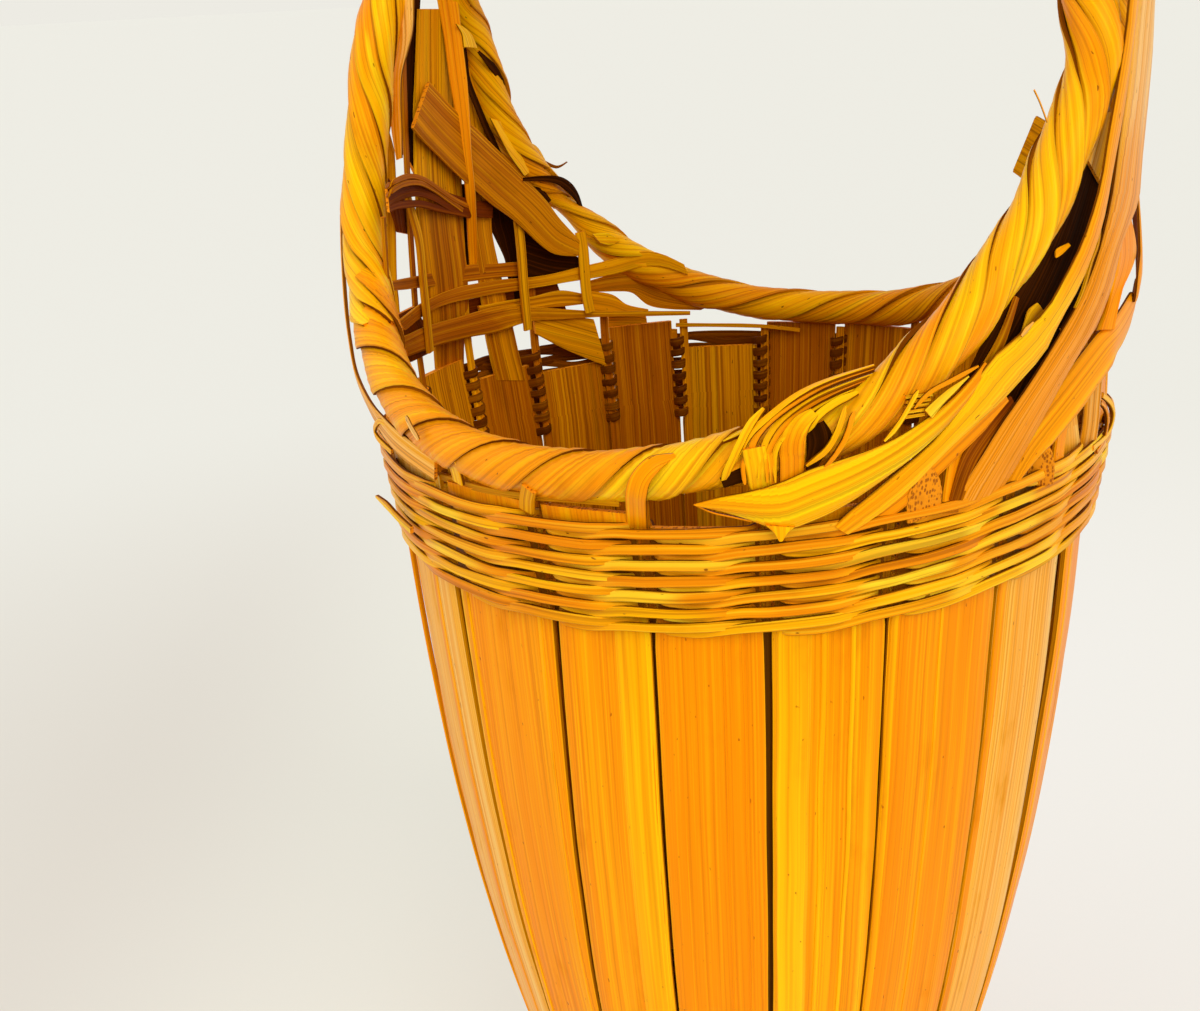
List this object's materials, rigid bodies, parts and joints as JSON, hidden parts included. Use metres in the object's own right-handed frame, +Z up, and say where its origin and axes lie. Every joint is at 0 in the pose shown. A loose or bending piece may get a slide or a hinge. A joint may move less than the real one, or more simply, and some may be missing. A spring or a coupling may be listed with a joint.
{
  "type": "wicker wine basket",
  "caption": "Tall round split-bamboo bottle basket with flat upright staves, twined bands at rim and foot, and two splint-wound hoops that rise into one overhead handle.",
  "frame": {"origin": "centre of the underside of the woven base", "axes": "+Z up, +X along the span of the handle, -Y towards the front roll"},
  "size_m": [0.1662, 0.1627, 0.3424],
  "materials": {
    "stave": "satin split bamboo",
    "stake": "matt split bamboo",
    "woven_base": "matt split bamboo",
    "strand": "satin split bamboo",
    "splint": "glossy bamboo skin",
    "core": "matt split bamboo"
  },
  "bodies": {
    "root": {"stave_01": "stave", "stave_02": "stave", "stave_03": "stave", "stave_04": "stave", "stave_05": "stave", "stave_06": "stave", "stave_07": "stave", "stave_08": "stave", "stave_09": "stave", "stave_10": "stave", "stave_11": "stave", "stave_12": "stave", "stave_13": "stave", "stave_14": "stave", "stave_15": "stave", "stave_16": "stave", "stave_17": "stave", "stave_18": "stave", "stave_19": "stave", "stave_20": "stave", "stave_21": "stave", "stake_01": "stake", "stake_02": "stake", "stake_03": "stake", "stake_04": "stake", "stake_05": "stake", "stake_06": "stake", "stake_07": "stake", "stake_08": "stake", "stake_09": "stake", "stake_10": "stake", "stake_11": "stake", "stake_12": "stake", "stake_13": "stake", "stake_14": "stake", "stake_15": "stake", "stake_16": "stake", "stake_17": "stake", "stake_18": "stake", "stake_19": "stake", "stake_20": "stake", "stake_21": "stake", "woven_base": "woven_base", "rim_band": "strand", "foot_band": "strand", "front_hoop_core": "core", "back_hoop_core": "core", "front_hoop_wrap": "splint", "back_hoop_wrap": "splint", "handle_binding": "splint", "front_lashing": "splint", "shoulder_splint_1": "splint", "shoulder_splint_2": "splint", "shoulder_splint_3": "splint", "shoulder_splint_4": "splint", "left_strap_1": "splint", "left_strap_2": "splint", "left_strap_3": "splint", "shoulder_brace": "stave"}
  },
  "joints": []
}
